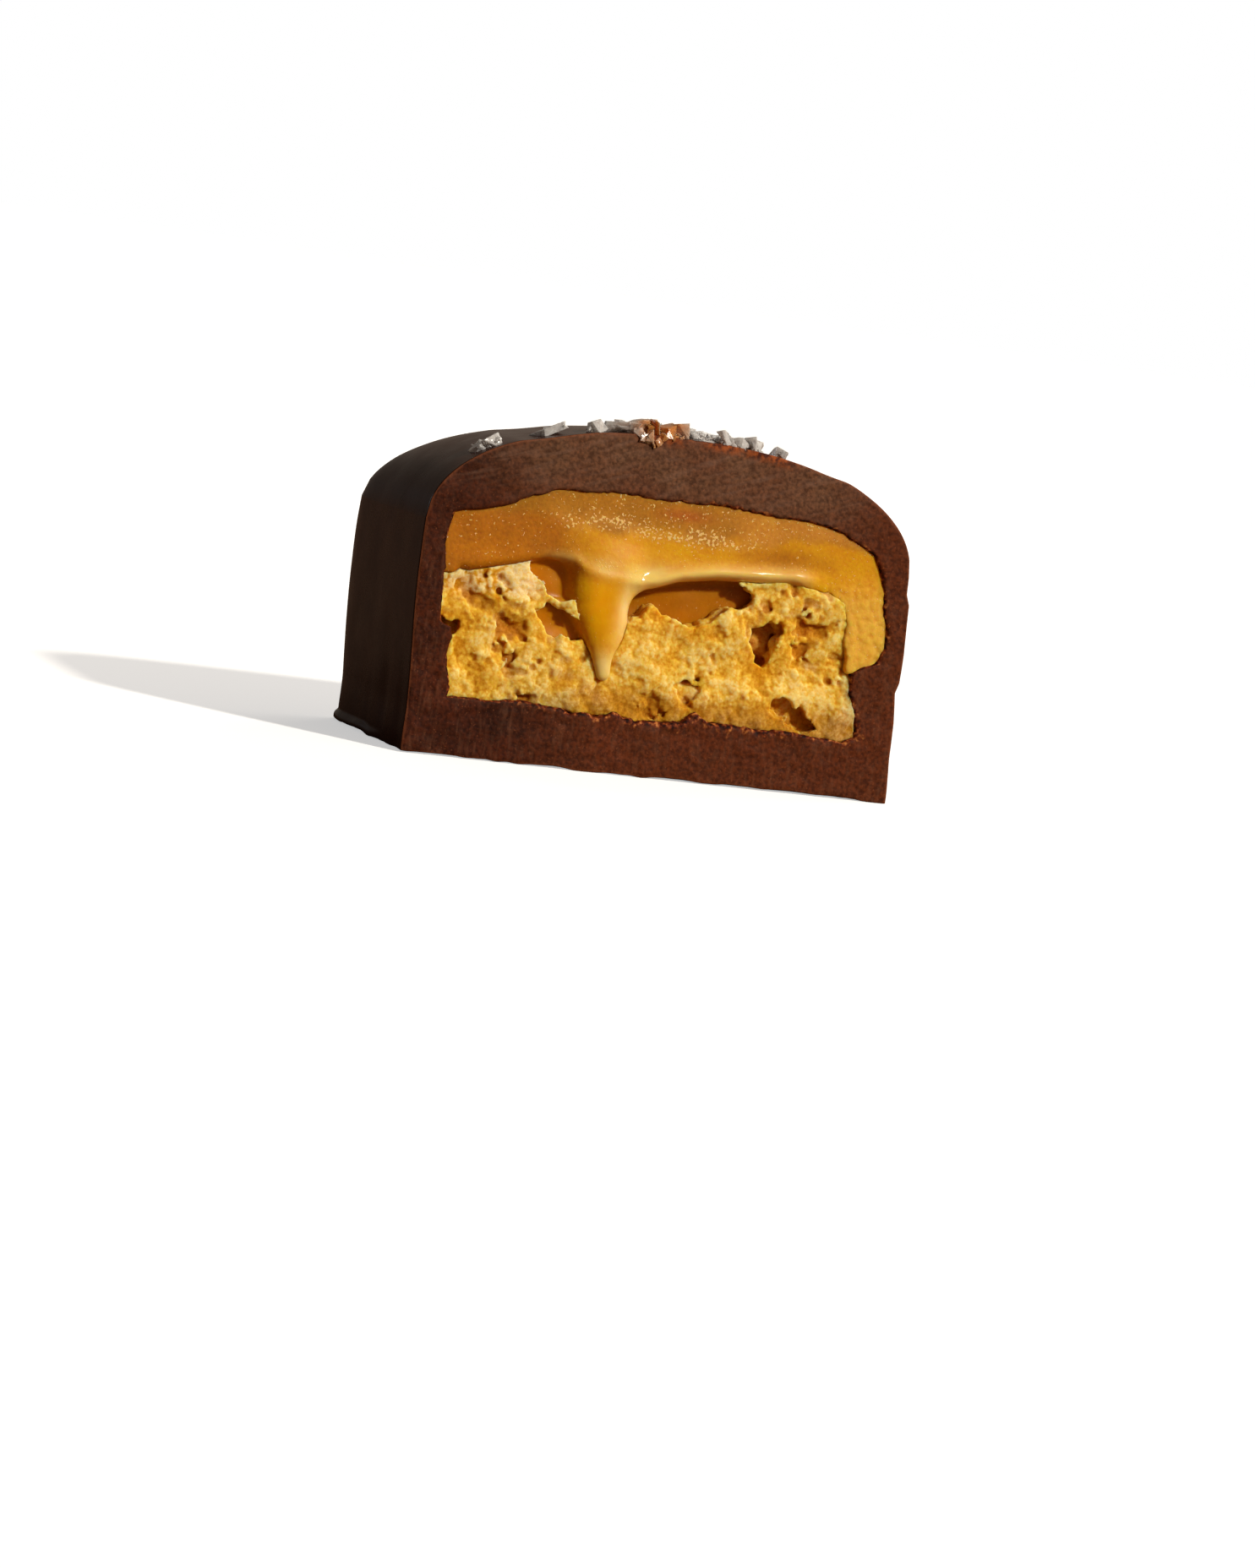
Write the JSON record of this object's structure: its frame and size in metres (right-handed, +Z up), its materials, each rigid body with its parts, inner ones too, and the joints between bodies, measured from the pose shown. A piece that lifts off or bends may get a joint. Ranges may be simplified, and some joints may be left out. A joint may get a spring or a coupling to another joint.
{
  "type": "half of a salted caramel shortbread bite",
  "caption": "Half of a chocolate-coated caramel shortbread, cut open to show shortbread, caramel with a drip, and salt flakes on top.",
  "frame": {"origin": "middle of the bounding box, at the flat base that the half stands on", "axes": "+X along the cut face to the right as seen from the front, +Y away from the cut face, +Z up"},
  "size_m": [0.041, 0.0206, 0.027],
  "materials": {
    "chocolate": "dark chocolate, satin outside, matt and fine-grained where cut",
    "salt": "translucent off-white salt crystals",
    "caramel": "soft golden caramel, glossy on its lip and drip, grainy where cut",
    "shortbread": "baked golden crumb, dry and crumbly"
  },
  "bodies": {
    "root": {"chocolate_coating": "chocolate", "caramel": "caramel", "shortbread": "shortbread"}
  },
  "joints": []
}
